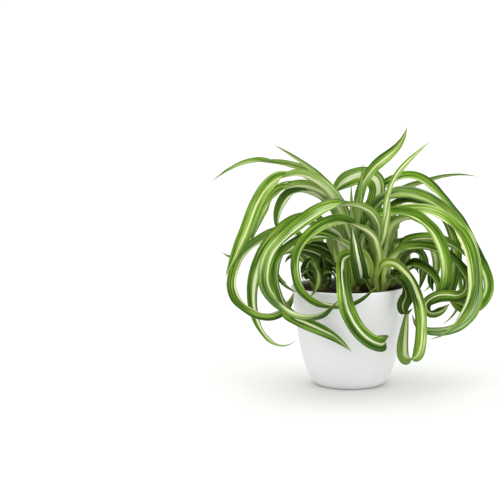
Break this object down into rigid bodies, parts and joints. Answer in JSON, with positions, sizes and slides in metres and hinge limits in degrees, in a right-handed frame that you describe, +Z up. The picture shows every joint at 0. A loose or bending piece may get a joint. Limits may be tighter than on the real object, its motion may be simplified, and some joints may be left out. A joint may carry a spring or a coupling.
{
  "type": "potted spider plant",
  "caption": "Young curly spider plant with long arching, curling leaves striped in cream, growing from short crowns in dark soil in a plain round white pot",
  "frame": {"origin": "middle of the pot's flat underside, where it stands on a table", "axes": "+Z up along the pot's axis; -Y is the front of the plant, the side that the picture shows; +X to the right seen from the front"},
  "size_m": [0.3189, 0.2161, 0.2869],
  "materials": {
    "pot": "smooth satin white",
    "soil": "moist dark potting soil, crumbly",
    "crown": "pale fleshy rootstock and leaf sheaths",
    "leaf": "fresh green blade with a cream middle stripe, soft waxy gloss"
  },
  "bodies": {
    "root": {"pot": "pot", "soil": "soil", "crown_a": "crown", "crown_b": "crown", "crown_c": "crown", "crown_d": "crown", "crown_e": "crown", "leaf_left_reaching_arch": "leaf", "leaf_left_straight": "leaf", "leaf_left_upper_arch": "leaf", "leaf_left_striped_arch": "leaf", "leaf_left_hooked_tip": "leaf", "leaf_left_back_hook": "leaf", "leaf_left_long_fall": "leaf", "leaf_left_round_loop": "leaf", "leaf_low_left_sweep": "leaf", "leaf_big_front_loop": "leaf", "leaf_round_front_loop": "leaf", "leaf_front_hanging": "leaf", "leaf_left_rim_tip": "leaf", "leaf_upright_striped": "leaf", "leaf_top_leaf": "leaf", "leaf_second_top_leaf": "leaf", "leaf_top_arch": "leaf", "leaf_thin_spear": "leaf", "leaf_short_spear": "leaf", "leaf_pale_spear": "leaf", "leaf_right_outer_arch": "leaf", "leaf_right_reaching": "leaf", "leaf_right_wide_arch": "leaf", "leaf_right_inner_fall": "leaf", "leaf_right_bright_arch": "leaf", "leaf_right_hoop": "leaf", "leaf_right_pale_arch": "leaf", "leaf_right_mid_upper": "leaf", "leaf_right_mid_lower": "leaf", "leaf_front_right_fold": "leaf", "leaf_rim_knot": "leaf", "leaf_right_small_tip": "leaf", "leaf_right_low_arch": "leaf", "leaf_right_dark_bend": "leaf", "leaf_right_far_curl": "leaf", "leaf_rim_low_curl": "leaf", "leaf_inner_small_coil": "leaf", "leaf_inner_wide_dark": "leaf", "leaf_inner_back_dark": "leaf", "leaf_dark_oval": "leaf", "leaf_rim_thin_hook": "leaf", "leaf_dark_blade": "leaf", "leaf_low_dark_curl": "leaf", "leaf_back_01": "leaf", "leaf_back_02": "leaf", "leaf_back_03": "leaf", "leaf_back_04": "leaf", "leaf_back_05": "leaf", "leaf_back_06": "leaf", "leaf_back_07": "leaf", "leaf_back_08": "leaf", "leaf_back_09": "leaf", "leaf_back_10": "leaf"}
  },
  "joints": []
}
